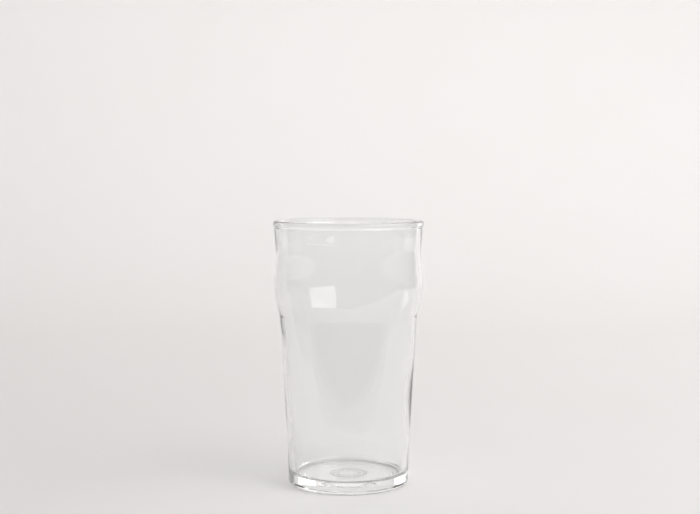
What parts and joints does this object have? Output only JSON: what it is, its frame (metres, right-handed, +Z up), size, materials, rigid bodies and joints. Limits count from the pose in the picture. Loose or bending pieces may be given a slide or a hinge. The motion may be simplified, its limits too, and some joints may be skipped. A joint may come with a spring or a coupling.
{
  "type": "mixing glass",
  "caption": "Clear pint-sized mixing glass with a tapered body, a grip bulge below the mouth, a beaded lip and a thick foot with a shallow recess.",
  "frame": {"origin": "centre of the bearing ring, in the plane that the glass stands on", "axes": "+Z up along the axis of revolution, from the foot to the mouth; +X and +Y are any two level directions"},
  "size_m": [0.0854, 0.0854, 0.15],
  "materials": {
    "clear_glass": "clear colourless toughened soda-lime glass, pressed and fire-polished, high gloss"
  },
  "bodies": {
    "root": {"glass_body": "clear_glass"}
  },
  "joints": []
}
